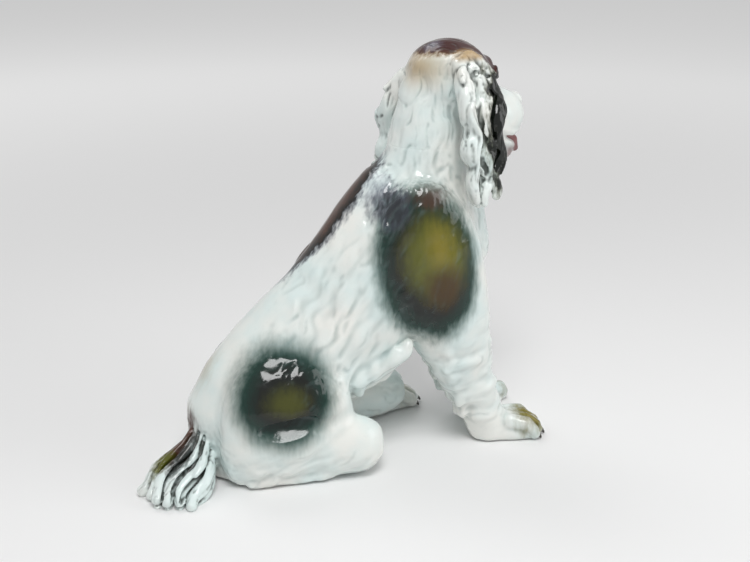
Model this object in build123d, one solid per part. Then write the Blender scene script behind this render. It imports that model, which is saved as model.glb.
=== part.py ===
from build123d import *
import math
import os

# A seated spaniel in glazed porcelain. The maker slip-casts it in parts and lutes them
# together with slip before the firing. Lengths are millimetres and angles are degrees. The
# dog looks along -Y, its right side is -X, and it sits on the ground at Z = 0.

# Surface: how many bands run from one station of a form to the next
bands_per_station = 2

# Clay: the cast wall, the slip in a joint, the room between neighbours and the reach of a cut
wall = 4.0
lute = 0.8
clearance = 0.4
overrun = 5.0

# Trunk: the spine runs from the middle of the seat, up and forward, to the neck
seat_back = 52.0
spine_run = 102.0
withers_height = 184.0
trunk_depth = 86.0
trunk_width = 68.0
neck_joint_rise = 4.0
vent_diameter = 9.0
air_hole_diameter = 3.0

# Head: a skull and muzzle, set ahead of the neck's top and sunk over it, turned and tilted to the dog's left
skull_ahead = 7.9
skull_sink = 3.95
skull_width = 50.0
skull_depth = 48.0
occiput_reach = 22.0
muzzle_reach = 56.5
head_turn = 24.0
head_tilt = 5.0

# Mouth: a lower jaw that hangs open below the skull, and a tongue that lies on it
jaw_length = 42.0
jaw_width = 18.0
jaw_thickness = 9.0
jaw_drop = 5.0
jaw_forward = 11.0
jaw_slope = 24.0
tongue_length = 30.0
tongue_width = 13.0
tongue_thickness = 5.0
tongue_tip_reach = 1.5

# Face: the eyes are beads under two brows, and the nose stands on the muzzle's tip
eye_diameter = 9.2
eye_spread = 14.2
eye_forward = 22.5
eye_rise = 1.8
brow_length = 13.0
brow_width = 13.0
brow_thickness = 9.0
brow_spread = 10.0
brow_forward = 13.5
brow_rise = 8.6
nose_length = 11.0
nose_width = 15.0
nose_thickness = 10.0
nose_reach = 4.0
nose_drop = 16.5

# Ears: long flaps that hang from roots set into the sides of the skull
ear_length = 86.0
ear_width = 33.0
ear_thickness = 14.0
ear_root_inset = 5.0
ear_stand_off = 10.0
ear_back = 3.5
right_ear_root_rise = 14.0
right_ear_swing = 0.0
left_ear_root_rise = 6.0
left_ear_swing = 11.0

# Locks: the main tufts of hair that stand out on the chest and under the belly
ruff_length = 44.0
ruff_width = 8.5
ruff_thickness = 7.0
ruff_height_share = 0.83
belly_lock_length = 12.0
belly_lock_width = 8.0
belly_lock_thickness = 7.0
belly_lock_slope = 119.0

# Forelegs: a shoulder set into the chest's side, a leg that slopes forward, and a paw
shoulder_run_share = 0.902
shoulder_height_share = 0.935
shoulder_inset = 7.4
arm_depth = 66.0
arm_width = 36.0
paw_length = 34.0
paw_width = 25.0
paw_height = 17.0
right_stride = 50.0
right_stance = 15.5
right_paw_turn = 10.0
left_stride = 54.0
left_stance = 15.0
left_paw_turn = 44.0

# Hind legs: a haunch set into the trunk's side, a folded leg that lies forward, and a foot
haunch_height = 82.0
haunch_length = 80.0
haunch_width = 36.0
haunch_inset = 6.5
haunch_forward = 12.0
folded_height = 36.0
folded_width = 30.0
folded_heel = 10.0
right_folded_length = 77.0
left_folded_length = 113.0
hind_paw_length = 40.0
hind_paw_width = 24.0
hind_paw_height = 16.0
right_hind_reach = 62.0
right_hind_stance = 20.0
right_hind_turn = 0.0
left_hind_reach = 116.0
left_hind_stance = 40.0
left_hind_turn = 8.0

# Tail: a feathered plume that falls from a root set into the rump, back and to the dog's right
tail_root_height = 36.0
tail_root_inset = 17.0
tail_length = 50.0
tail_width = 42.0
tail_thickness = 21.0
tail_sweep = 44.0

# Spine stations: shares of the run and of the withers height, the lean, and shares of the depth and width
trunk_shares = (
    (-0.10, -0.065, 72, 0.68, 0.68),
    (-0.02, 0.150, 68, 1.00, 0.89),
    (0.235, 0.343, 57, 0.98, 0.95),
    (0.575, 0.490, 51, 1.05, 0.93),
    (0.850, 0.684, 51, 1.06, 0.97),
    (1.02, 0.815, 58, 1.00, 0.95),
    (1.03, 0.957, 78, 0.63, 0.74),
    (1.04, 1.103, 86, 0.51, 0.63),
    (1.05, 1.228, 90, 0.37, 0.47),
)

# Ruff locks on one side: shares of the half width and of the spine's run
ruff_shares = ((0.14, 1.355), (0.40, 1.315))

# Belly locks on one side: shares of the half width, of the spine's run and of the withers height
belly_shares = (
    (0.735, 0.775, 0.383),
    (0.735, 0.691, 0.353),
    (0.735, 0.608, 0.323),
    (0.380, 0.784, 0.321),
    (0.380, 0.696, 0.289),
    (0.380, 0.608, 0.257),
)

# Skull stations: shares of the reach, the half width and the half depth, and the rise in half depths
occiput_shares = ((-1.00, 0.35, 0.42, 0.0), (-0.60, 0.83, 0.84, 0.04), (0.0, 1.0, 1.0, 0.0))
muzzle_shares = (
    (0.25, 0.95, 0.91, -0.02),
    (0.46, 0.68, 0.71, -0.38),
    (0.62, 0.56, 0.60, -0.74),
    (0.82, 0.53, 0.58, -0.94),
    (0.95, 0.42, 0.46, -0.95),
    (1.00, 0.26, 0.28, -0.92),
)

# Stations of the jaw, tongue, nose, brows and locks: shares of the length, half width and half thickness
bar_shares = (
    (0.00, 0.70, 0.80),
    (0.25, 0.95, 1.00),
    (0.60, 1.00, 1.00),
    (0.88, 0.86, 0.84),
    (1.00, 0.52, 0.50),
)

# Ear stations, root first: shares of the length, the stand-off, the half thickness and the half width
ear_shares = (
    (0.00, 0.00, 0.43, 0.50),
    (0.11, 0.70, 0.86, 0.85),
    (0.32, 1.00, 1.00, 1.00),
    (0.57, 1.10, 1.00, 0.92),
    (0.84, 1.05, 0.90, 0.86),
    (1.00, 0.95, 0.50, 0.48),
)

# Foreleg stations: shares of the shoulder height, the stride, the way from the shoulder's stance to the
# paw's, the half arm depth and the half arm width
foreleg_shares = (
    (1.00, 0.00, 0.00, 0.30, 0.35),
    (0.94, 0.04, 0.02, 0.62, 0.70),
    (0.84, 0.08, 0.05, 0.88, 0.92),
    (0.70, 0.14, 0.05, 1.00, 1.00),
    (0.54, 0.30, 0.20, 0.90, 0.90),
    (0.40, 0.48, 0.45, 0.71, 0.78),
    (0.256, 0.67, 0.75, 0.57, 0.72),
    (0.125, 0.90, 1.00, 0.44, 0.69),
    (-0.03, 1.08, 1.00, 0.38, 0.66),
)
shoulder_station_count = 5

# Paw stations: shares of the length, of the half width and of the height
paw_shares = (
    (0.00, 0.60, 0.70),
    (0.22, 0.90, 0.95),
    (0.55, 1.00, 1.00),
    (0.84, 0.92, 0.82),
    (1.00, 0.62, 0.50),
)

# Haunch stations: shares of the height, of the stance, of the half width and of the half length
haunch_shares = (
    (-0.03, 0.80, 0.67, 0.85),
    (0.15, 0.95, 1.00, 0.99),
    (0.40, 1.03, 1.00, 1.00),
    (0.65, 1.00, 0.97, 0.93),
    (0.85, 0.82, 0.78, 0.70),
    (0.99, 0.58, 0.42, 0.32),
)

# Folded leg stations: shares of the length, the haunch's stance, the half width and the half height
folded_shares = (
    (0.00, 0.80, 0.62, 0.72),
    (0.28, 1.00, 0.92, 0.90),
    (0.60, 1.10, 1.00, 0.97),
    (0.86, 1.18, 0.94, 0.97),
    (1.00, 1.18, 0.50, 0.55),
)

# Tail stations: shares of the length, the drop from the root, the half width and the half thickness
tail_shares = (
    (0.00, 0.00, 0.45, 1.00),
    (0.30, 0.42, 0.56, 0.94),
    (0.60, 0.75, 0.82, 0.80),
    (0.86, 0.90, 1.00, 0.62),
    (1.00, 0.95, 0.80, 0.40),
)

# Places that follow from the sizes above
neck_joint_height = withers_height + neck_joint_rise
skull_forward = spine_run * trunk_shares[-1][0] + skull_ahead
skull_height = withers_height * trunk_shares[-1][1] - skull_sink
shoulder_height = withers_height * shoulder_height_share
shoulder_forward = spine_run * shoulder_run_share
shoulder_stance = trunk_width / 2 - shoulder_inset
haunch_stance = trunk_width / 2 - haunch_inset
tail_root_back = trunk_depth / 2 - tail_root_inset


def refine(stations):
    """The stations with more between them, on a smooth curve through each column."""
    rows = []
    for index in range(len(stations) - 1):
        before = stations[max(index - 1, 0)]
        start = stations[index]
        end = stations[index + 1]
        after = stations[min(index + 2, len(stations) - 1)]
        for step in range(bands_per_station):
            t = step / bands_per_station
            row = []
            for a, b, c, d in zip(before, start, end, after):
                bend = 2 * a - 5 * b + 4 * c - d
                twist = 3 * (b - c) + d - a
                row.append(b + t * (c - a + t * (bend + t * twist)) / 2)
            rows.append(row)
    return rows + [list(stations[-1])]


def oval(origin, along, half_across, half_up):
    """A flat ellipse at origin, square to along, with its first axis across the dog."""
    return Plane(origin=origin, x_dir=(1, 0, 0), z_dir=along) * Ellipse(half_across, half_up)


def above(solid, height):
    """What lies over a level plane."""
    return split(solid, bisect_by=Plane.XY.offset(height), keep=Keep.TOP)


def below(solid, height):
    """What lies under a level plane."""
    return split(solid, bisect_by=Plane.XY.offset(height), keep=Keep.BOTTOM)


def largest(shape):
    """The one solid that matters, without crumbs that a cut may leave."""
    return shape.solids().sort_by(SortBy.VOLUME)[-1]


def trunk(grow=0.0):
    """The body and neck as one smooth form, swollen by grow all round."""
    ovals = []
    for run_share, height_share, lean, depth_share, width_share in refine(trunk_shares):
        slope = math.radians(lean)
        origin = (0, seat_back - spine_run * run_share, withers_height * height_share)
        along = (0, -math.cos(slope), math.sin(slope))
        half_width = trunk_width / 2 * width_share + grow
        half_depth = trunk_depth / 2 * depth_share + grow
        ovals.append(oval(origin, along, half_width, half_depth))
    return loft(ovals, ruled=True)


head_place = Pos(0, seat_back - skull_forward, skull_height) * Rot(0, 0, head_turn) * Rot(0, head_tilt, 0)


def skull(grow=0.0):
    """The skull and upper muzzle, swollen by grow all round."""
    stations = [((occiput_reach + grow) * shares[0], *shares[1:]) for shares in occiput_shares]
    stations += [((muzzle_reach + grow) * shares[0], *shares[1:]) for shares in muzzle_shares]
    ovals = []
    for forward, width_share, depth_share, rise_share in refine(stations):
        origin = (0, -forward, skull_depth / 2 * rise_share)
        half_width = skull_width / 2 * width_share + grow
        half_depth = skull_depth / 2 * depth_share + grow
        ovals.append(oval(origin, (0, -1, 0), half_width, half_depth))
    return head_place * loft(ovals, ruled=True)


def bar(length, width, thickness):
    """A rounded bar along -Y, broad in the middle."""
    ovals = []
    for length_share, width_share, thickness_share in refine(bar_shares):
        origin = (0, -length * length_share, 0)
        ovals.append(oval(origin, (0, -1, 0), width / 2 * width_share, thickness / 2 * thickness_share))
    return loft(ovals, ruled=True)


jaw_place = head_place * Pos(0, -jaw_forward, -skull_depth / 2 - jaw_drop) * Rot(jaw_slope, 0, 0)


def jaw(grow=0.0):
    """The lower jaw, which starts in the throat and slopes down and forward."""
    return jaw_place * bar(jaw_length, jaw_width + 2 * grow, jaw_thickness + 2 * grow)


def tongue():
    """The tongue, which lies on the jaw and ends just past its tip."""
    root = Pos(0, tongue_length - tongue_tip_reach - jaw_length, jaw_thickness / 2)
    return jaw_place * root * bar(tongue_length, tongue_width, tongue_thickness)


def face():
    """The eyes, the brows over them and the nose."""
    nose_place = Pos(0, nose_length - nose_reach - muzzle_reach, -nose_drop)
    forms = nose_place * bar(nose_length, nose_width, nose_thickness)
    for side in (-1, 1):
        forms += Pos(side * eye_spread, -eye_forward, eye_rise) * Sphere(eye_diameter / 2)
        brow_place = Pos(side * brow_spread, -brow_forward, brow_rise)
        forms += brow_place * bar(brow_length, brow_width, brow_thickness)
    return head_place * forms


def locks():
    """The ruff's locks, which hang straight down, and the belly's, which lie back."""
    forms = []
    for side in (-1, 1):
        for width_share, run_share in ruff_shares:
            across = side * trunk_width / 2 * width_share
            root = Pos(across, seat_back - spine_run * run_share, withers_height * ruff_height_share)
            forms.append(root * Rot(90, 0, 0) * bar(ruff_length, ruff_width, ruff_thickness))
        for width_share, run_share, height_share in belly_shares:
            across = side * trunk_width / 2 * width_share
            root = Pos(across, seat_back - spine_run * run_share, withers_height * height_share)
            tuft = bar(belly_lock_length, belly_lock_width, belly_lock_thickness)
            forms.append(root * Rot(belly_lock_slope, 0, 0) * tuft)
    return forms


def ear(side, root_rise, swing):
    """A hanging ear, swung out from its root: side is -1 for the right and 1 for the left."""
    ovals = []
    for length_share, stand_off_share, thickness_share, width_share in refine(ear_shares):
        origin = (side * ear_stand_off * stand_off_share, 0, -ear_length * length_share)
        half_thickness = ear_thickness / 2 * thickness_share
        half_width = ear_width / 2 * width_share
        ovals.append(oval(origin, (0, 0, 1), half_thickness, half_width))
    root = Pos(side * (skull_width / 2 - ear_root_inset), ear_back, root_rise)
    return head_place * root * Rot(0, -side * swing, 0) * loft(ovals, ruled=True)


def paw(length, width, height):
    """A paw that stands on the ground at its heel and points along -Y."""
    ovals = []
    for length_share, width_share, height_share in refine(paw_shares):
        origin = (0, -length * length_share, 0)
        ovals.append(oval(origin, (0, -1, 0), width / 2 * width_share, height * height_share))
    return loft(ovals, ruled=True)


def foreleg_ovals(side, stride, stance, grow):
    """The level sections of a shoulder and leg, from the top down."""
    ovals = []
    for height_share, stride_share, stance_share, depth_share, width_share in refine(foreleg_shares):
        across = shoulder_stance + (stance - shoulder_stance) * stance_share
        forward = shoulder_forward + stride * stride_share
        origin = (side * across, seat_back - forward, shoulder_height * height_share)
        half_width = arm_width / 2 * width_share + grow
        half_depth = arm_depth / 2 * depth_share + grow
        ovals.append(oval(origin, (0, 0, 1), half_width, half_depth))
    return ovals


def foreleg(side, stride, stance, paw_turn):
    """A whole shoulder, leg and paw, cut off level with the ground."""
    heel = Pos(side * stance, seat_back - shoulder_forward - stride, 0)
    foot = heel * Rot(0, 0, side * paw_turn) * paw(paw_length, paw_width, paw_height)
    return above(shoulder(side, stride, stance, 0) + foot, 0)


def shoulder(side, stride, stance, grow):
    """A shoulder and leg without the paw, swollen by grow."""
    return loft(foreleg_ovals(side, stride, stance, grow), ruled=True)


def shoulder_hollow(side, stride, stance):
    """The space that the poured-off slip leaves inside a shoulder."""
    ovals = foreleg_ovals(side, stride, stance, -wall)
    return loft(ovals[bands_per_station : shoulder_station_count * bands_per_station], ruled=True)


def haunch(side, grow=0.0):
    """The rounded thigh beside the trunk."""
    ovals = []
    for height_share, stance_share, width_share, length_share in refine(haunch_shares):
        across = side * haunch_stance * stance_share
        origin = (across, seat_back - haunch_forward, haunch_height * height_share)
        half_width = haunch_width / 2 * width_share + grow
        half_length = haunch_length / 2 * length_share + grow
        ovals.append(oval(origin, (0, 0, 1), half_width, half_length))
    return loft(ovals, ruled=True)


def folded_leg(side, length):
    """The leg below the haunch, a rounded lobe that lies forward along the ground."""
    ovals = []
    for length_share, stance_share, width_share, height_share in refine(folded_shares):
        across = side * haunch_stance * stance_share
        origin = (across, seat_back + folded_heel - length * length_share, folded_height / 2)
        half_width = folded_width / 2 * width_share
        half_height = folded_height / 2 * height_share
        ovals.append(oval(origin, (0, -1, 0), half_width, half_height))
    return loft(ovals, ruled=True)


def hind_leg(side, folded_length, reach, stance, turn):
    """A whole haunch, folded leg and foot, cut off level with the ground."""
    heel = Pos(side * stance, seat_back - reach + hind_paw_length, 0)
    foot = heel * Rot(0, 0, side * turn) * paw(hind_paw_length, hind_paw_width, hind_paw_height)
    return above(haunch(side) + folded_leg(side, folded_length) + foot, 0)


def haunch_hollow(side):
    """The space that the poured-off slip leaves inside a haunch."""
    return above(haunch(side, -wall), wall)


def tail():
    """The plume, a fan that falls from the rump and lies on the ground."""
    drop = tail_root_height - tail_thickness / 2 * tail_shares[-1][3]
    ovals = []
    for length_share, drop_share, width_share, thickness_share in refine(tail_shares):
        origin = (0, tail_length * length_share, -drop * drop_share)
        half_width = tail_width / 2 * width_share
        half_thickness = tail_thickness / 2 * thickness_share
        ovals.append(oval(origin, (0, 1, 0), half_width, half_thickness))
    root = Pos(0, seat_back + tail_root_back, tail_root_height) * Rot(0, 0, tail_sweep)
    return above(root * loft(ovals, ruled=True), 0)


# The hollow body and head. A joint's slip fills a band of one lute's thickness outside them.
body = above(trunk(), 0)
body_skin = above(trunk(lute), 0)
body_band = body_skin - body
bust = body + skull()
bust_skin = body_skin + skull(lute)
cavity = above(trunk(-wall) + skull(-wall), wall)

nodes = {}

# Each hollow limb breathes into the body through a small hole, and the body through the vent in its seat
vent = Pos(0, seat_back, 0) * Cylinder(vent_diameter / 2, 2 * (wall + overrun))
air_hole = Rot(0, 90, 0) * Cylinder(air_hole_diameter / 2, trunk_width + overrun)
shoulder_air = Pos(0, seat_back - shoulder_forward, shoulder_height * foreleg_shares[3][0]) * air_hole
haunch_air = Pos(0, seat_back - haunch_forward, haunch_height * haunch_shares[3][0]) * air_hole
shell = (body + locks()) - cavity
nodes["torso_casting"] = largest(below(shell, neck_joint_height) - vent - shoulder_air - haunch_air)
nodes["neck_lute"] = largest(below(above(shell, neck_joint_height), neck_joint_height + lute))
nodes["head_casting"] = largest((above(body, neck_joint_height + lute) + skull() + face()) - cavity)

limbs = {
    "right_foreleg": foreleg(-1, right_stride, right_stance, right_paw_turn)
    - shoulder_hollow(-1, right_stride, right_stance),
    "left_foreleg": foreleg(1, left_stride, left_stance, left_paw_turn)
    - shoulder_hollow(1, left_stride, left_stance),
    "right_hind_leg": hind_leg(-1, right_folded_length, right_hind_reach, right_hind_stance, right_hind_turn)
    - haunch_hollow(-1),
    "left_hind_leg": hind_leg(1, left_folded_length, left_hind_reach, left_hind_stance, left_hind_turn)
    - haunch_hollow(1),
    "tail_plume": tail() - haunch(-1, clearance) - folded_leg(-1, right_folded_length),
}
for name, limb in limbs.items():
    nodes[name] = largest(limb - body_skin)
    nodes[name + "_lute"] = largest(limb & body_band)

ears = {
    "right_ear": ear(-1, right_ear_root_rise, right_ear_swing)
    - shoulder(-1, right_stride, right_stance, clearance),
    "left_ear": ear(1, left_ear_root_rise, left_ear_swing)
    - shoulder(1, left_stride, left_stance, clearance),
}
for name, flap in ears.items():
    nodes[name] = largest(flap - bust_skin)
    nodes[name + "_lute"] = largest((flap & bust_skin) - bust)

nodes["lower_jaw"] = largest(jaw() - bust_skin)
nodes["lower_jaw_lute"] = largest((jaw() & bust_skin) - bust)
free_tongue = tongue() - bust_skin
nodes["tongue"] = largest(free_tongue - jaw(lute))
nodes["tongue_lute"] = largest((free_tongue & jaw(lute)) - jaw())

# The frame's origin is on the ground, under the middle of the figure's box
box = Compound(children=[piece for node in nodes.values() for piece in node.solids()]).bounding_box()
to_middle = Pos(-box.center().X, -box.center().Y, 0)
print("box", box.size, "moved by", to_middle.position)

os.makedirs("parts", exist_ok=True)
for name, node in nodes.items():
    export_step(to_middle * node, os.path.join("parts", name + ".step"))
    print(name, len(node.solids()), round(node.volume))
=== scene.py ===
# %% [markdown]
# # A seated spaniel in glazed porcelain
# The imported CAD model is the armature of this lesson. It has the right size, pose and pieces, but
# its castings are plain. Here they become one modelled dog with carved fur, a face, paws and a
# glossy glaze. Lengths in the sculpting cells are millimetres, because a modeller thinks in them.

# %% Load the frame
import math

import bpy
import numpy as np
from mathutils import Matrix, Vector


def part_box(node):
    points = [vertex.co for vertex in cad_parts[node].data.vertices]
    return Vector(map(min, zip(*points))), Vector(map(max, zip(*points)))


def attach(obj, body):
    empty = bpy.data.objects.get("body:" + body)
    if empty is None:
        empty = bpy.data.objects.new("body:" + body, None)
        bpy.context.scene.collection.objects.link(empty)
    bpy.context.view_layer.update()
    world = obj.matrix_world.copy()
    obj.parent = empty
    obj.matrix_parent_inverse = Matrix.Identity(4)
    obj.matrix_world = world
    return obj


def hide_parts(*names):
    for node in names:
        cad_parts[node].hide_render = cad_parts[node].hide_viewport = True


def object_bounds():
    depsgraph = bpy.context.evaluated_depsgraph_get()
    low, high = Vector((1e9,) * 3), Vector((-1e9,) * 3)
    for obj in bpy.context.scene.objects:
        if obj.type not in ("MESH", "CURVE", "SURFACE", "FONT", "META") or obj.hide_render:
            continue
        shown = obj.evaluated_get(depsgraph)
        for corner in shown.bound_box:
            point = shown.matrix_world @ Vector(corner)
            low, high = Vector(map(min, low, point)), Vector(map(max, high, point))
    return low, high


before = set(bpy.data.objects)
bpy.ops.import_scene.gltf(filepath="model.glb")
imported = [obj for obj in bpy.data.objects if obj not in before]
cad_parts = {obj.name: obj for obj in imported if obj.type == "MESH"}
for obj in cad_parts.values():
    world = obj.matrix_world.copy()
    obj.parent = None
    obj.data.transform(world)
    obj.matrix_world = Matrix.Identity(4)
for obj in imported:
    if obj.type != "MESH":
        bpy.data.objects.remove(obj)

import openvdb as vdb
from mathutils import Matrix, Vector

MM = 0.001
cad_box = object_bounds()
torso_low, torso_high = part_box("torso_casting")
middle = (torso_low.x + torso_high.x) / 2 / MM
print("the dog's middle line is at x =", round(middle, 2), "mm")

# %% [markdown]
# ## Clay as a field of distances
# A carved animal has no flat sides to extrude, so a box model or a subdivision cage would need
# thousands of hand-placed points. Instead each point of a fine grid holds its distance to the clay:
# below zero is inside. Lumps melt together when their distances are mixed, and the surface is
# found at zero. The first field comes from the CAD solids themselves, all in one soup of
# triangles, so the sculpture stands exactly where the frame does. A small plug shuts the kiln
# vent, so the hollow castings count as full clay.

# %% The triangles of the CAD
ROUGH_STEP = 1.0
REACH = 12.0
MARGIN = 14.0
VENT_RADIUS = 4.5


def triangles_of(names):
    """The corners, in millimetres, and the triangles of several CAD nodes."""
    corners, faces, count = [], [], 0
    for name in names:
        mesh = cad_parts[name].data
        mesh.calc_loop_triangles()
        points = np.empty(len(mesh.vertices) * 3, np.float32)
        mesh.vertices.foreach_get("co", points)
        index = np.empty(len(mesh.loop_triangles) * 3, np.int32)
        mesh.loop_triangles.foreach_get("vertices", index)
        corners.append(points.reshape(-1, 3) / MM)
        faces.append(index.reshape(-1, 3) + count)
        count += len(mesh.vertices)
    return np.concatenate(corners), np.concatenate(faces)


print("the CAD has", len(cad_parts), "nodes")

# %% [markdown]
# ## The armature
# OpenVDB turns a soup of triangles into distances. Ears and tail get a field of their own, because
# they will be thinned to a core before locks are laid over them.

# %% The armature field of the whole dog
low_corner = np.array(cad_box[0]) / MM - MARGIN
high_corner = np.array(cad_box[1]) / MM + MARGIN
rough_shape = tuple(int(n) for n in np.ceil((high_corner - low_corner) / ROUGH_STEP))
VENT_FROM_RUMP = 41.9
seat_y = torso_high.y / MM - VENT_FROM_RUMP


def rough_field(names, plug=False):
    """Distances to the named CAD nodes on the rough grid."""
    corners, faces = triangles_of(names)
    quads = np.zeros((0, 4), np.uint32)
    if plug:
        sides = np.array([[x, y, z] for x in (-1, 1) for y in (-1, 1) for z in (-1, 1)])
        block = sides * (1.6 * VENT_RADIUS, 1.6 * VENT_RADIUS, 2.5) + (middle, seat_y, 2.5)
        ring = [[0, 1, 3, 2], [4, 6, 7, 5], [0, 4, 5, 1], [2, 3, 7, 6], [0, 2, 6, 4], [1, 5, 7, 3]]
        quads = np.array(ring, np.uint32) + len(corners)
        corners = np.concatenate([corners, block])
    grid = vdb.FloatGrid.createLevelSetFromPolygons(
        ((corners - low_corner) / ROUGH_STEP).astype(np.float32),
        faces.astype(np.uint32),
        quads.astype(np.uint32),
        vdb.createLinearTransform(1.0),
        REACH / ROUGH_STEP,
    )
    field = np.full(rough_shape, REACH, np.float32)
    grid.copyToArray(field)
    return np.clip(field * ROUGH_STEP, -REACH, REACH)


hairy_nodes = [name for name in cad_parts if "_ear" in name or "tail" in name]
whole_dog = rough_field([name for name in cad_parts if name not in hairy_nodes], plug=True)
hair_core = rough_field(hairy_nodes)
print("armature grid", rough_shape, "deepest", whole_dog.min())

# %% [markdown]
# ## Soft joints between the castings
# On the bench the slip that sticks two castings together is sponged smooth, so a shoulder flows
# into the chest with no step. A blur of the distance field does the same. A box blur along each
# axis, done three times, is close to a round one, and running sums make it quick.

# %% Sponge the joints
SPONGE = 2


def blurred(field, reach, rounds=3):
    """The field averaged over a box of 2 * reach + 1 cells, several times over."""
    for _ in range(rounds):
        for axis in range(3):
            pad = [(0, 0)] * 3
            pad[axis] = (reach + 1, reach)
            sums = np.cumsum(np.pad(field, pad, mode="edge"), axis=axis, dtype=np.float64)
            wide = 2 * reach + 1
            ahead = np.take(sums, range(wide, sums.shape[axis]), axis=axis)
            behind = np.take(sums, range(0, sums.shape[axis] - wide), axis=axis)
            field = ((ahead - behind) / wide).astype(np.float32)
    return field


HAIR_DEPTH = 5.0


def melt(a, b, soft):
    """The union of two distances, rounded over soft millimetres."""
    mix = np.clip(soft - np.abs(a - b), 0, None) / soft
    return np.minimum(a, b) - mix * mix * soft / 4


sponged_dog = melt(blurred(whole_dog, SPONGE), blurred(hair_core, 1) + HAIR_DEPTH, 4.0)
print("sponged", sponged_dog.shape)

# %% [markdown]
# ## The visible pieces
# Each visible piece stands for one casting and the slip at its joint. Knowing how far a point is
# from each casting tells which piece it belongs to, so every piece can be cut from the same clay
# and the seams vanish. STEP is the size of the clay's grain: finest on the mouth, head, ears and tail.

# %% Which piece stands for which nodes
PIECES = {
    "body": ("torso_casting",),
    "head": ("head_casting", "neck_lute"),
    "right_ear_locks": ("right_ear", "right_ear_lute"),
    "left_ear_locks": ("left_ear", "left_ear_lute"),
    "chin": ("lower_jaw", "lower_jaw_lute"),
    "tongue_leaf": ("tongue", "tongue_lute"),
    "right_front_leg": ("right_foreleg", "right_foreleg_lute"),
    "left_front_leg": ("left_foreleg", "left_foreleg_lute"),
    "right_haunch": ("right_hind_leg", "right_hind_leg_lute"),
    "left_haunch": ("left_hind_leg", "left_hind_leg_lute"),
    "tail_fan": ("tail_plume", "tail_plume_lute"),
}
STEP = {name: 0.78 for name in PIECES}
STEP.update(body=1.0, head=0.55, right_ear_locks=0.58, left_ear_locks=0.58)
STEP.update(chin=0.5, tongue_leaf=0.5, tail_fan=0.55)
casting_field = {name: rough_field(nodes) for name, nodes in PIECES.items()}
print(len(PIECES), "pieces")

# %% [markdown]
# ## Tools for adding and cutting clay
# Two lumps are enough for a whole dog: a ball, and a roll, which is a rope of clay that swells
# and tapers along a path. Each is noted with the piece it belongs to, and is pressed on or
# carved out later. soft says over how many millimetres it melts into what is there.

# %% Balls and rolls
lumps = []


def ball(piece, centre, radii, soft=3.0, carve=False, axes=None):
    """Notes an egg of clay. Its axes are the rows of a turning matrix."""
    centre = np.asarray(centre, float)
    radii = np.broadcast_to(np.asarray(radii, float), 3)
    reach = max(radii) + soft + 1
    lumps.append(dict(piece=piece, soft=soft, carve=carve, low=centre - reach, high=centre + reach,
                      centre=centre, radii=radii, axes=axes))


def roll(piece, path, radii, soft=2.0, carve=False):
    """Notes a rope of clay along a path. The radii change evenly from point to point."""
    path = np.asarray(path, float)
    radii = np.interp(np.linspace(0, 1, len(path)), np.linspace(0, 1, len(radii)), radii)
    reach = radii.max() + soft + 1
    lumps.append(dict(piece=piece, soft=soft, carve=carve, low=path.min(0) - reach,
                      high=path.max(0) + reach, path=path, radii=radii))


print("balls and rolls ready")

# %% [markdown]
# ## How far from a lump
# The distance to an egg is guessed from its shape, which is close enough near the skin. A roll is a
# chain of cones, and each cone only looks at the part of the grid around it.

# %% Distances


def spans_of(axes, low, high):
    """The part of a grid between two corners, as slices."""
    return tuple(slice(*np.searchsorted(axis, (a, b))) for axis, a, b in zip(axes, low, high))


def lump_distance(lump, axes):
    """How far each point of a grid is from a noted lump."""
    if "centre" in lump:
        points = np.stack(np.meshgrid(*axes, indexing="ij"), -1) - lump["centre"]
        if lump["axes"] is not None:
            points = points @ np.asarray(lump["axes"]).T
        near = np.linalg.norm(points / lump["radii"], axis=-1)
        steep = np.linalg.norm(points / lump["radii"] ** 2, axis=-1)
        return near * (near - 1) / np.maximum(steep, 1e-6)
    best = np.full([len(axis) for axis in axes], REACH)
    ends = zip(lump["path"], lump["path"][1:], lump["radii"], lump["radii"][1:])
    for a, b, thick, thin in ends:
        reach = max(thick, thin) + lump["soft"] + 1
        spans = spans_of(axes, np.minimum(a, b) - reach, np.maximum(a, b) + reach)
        x, y, z = (axis[span].reshape(shape) for axis, span, shape in
                   zip(axes, spans, ((-1, 1, 1), (1, -1, 1), (1, 1, -1))))
        run = b - a
        share = (x - a[0]) * run[0] + (y - a[1]) * run[1] + (z - a[2]) * run[2]
        share = np.clip(share / max(run @ run, 1e-9), 0, 1)
        gap = (x - a[0] - share * run[0]) ** 2
        gap = gap + (y - a[1] - share * run[1]) ** 2 + (z - a[2] - share * run[2]) ** 2
        gap = np.sqrt(gap) - (thick + (thin - thick) * share)
        best[spans] = np.minimum(best[spans], gap)
    return best


print("tools ready")

# %% [markdown]
# ## A head of its own axes
# The dog looks to its left with a tilted head. Measuring the face in the head's own axes keeps its
# two sides alike: x across, minus y towards the nose, z up, from the middle of the skull.

# %% Head axes
HEAD_TURN = math.radians(24)
HEAD_TILT = math.radians(5)
head_matrix = Matrix.Rotation(HEAD_TURN, 3, "Z") @ Matrix.Rotation(HEAD_TILT, 3, "Y")
head_axes = np.array(head_matrix)
skull = np.array((middle, -63.4, 222.0))


def on_head(x, y, z):
    """A point given in the head's axes."""
    return skull + head_axes @ (x, y, z)


def at(x, y, z):
    """A point measured from the dog's middle line: minus x is its right side."""
    return np.array((middle + x, y, z))


print("skull centre", skull.round(1))

# %% [markdown]
# ## Eyes
# Each eye is a bead set in a carved socket, with an upper and a lower lid laid round it. Points on
# the bead are given as two turns, so a lid is a curve of turns and always lies on the bead.

# %% Eyes and lids
EYE = 4.6
EYE_PLACE = (14.2, -22.5, 1.8)


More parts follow.
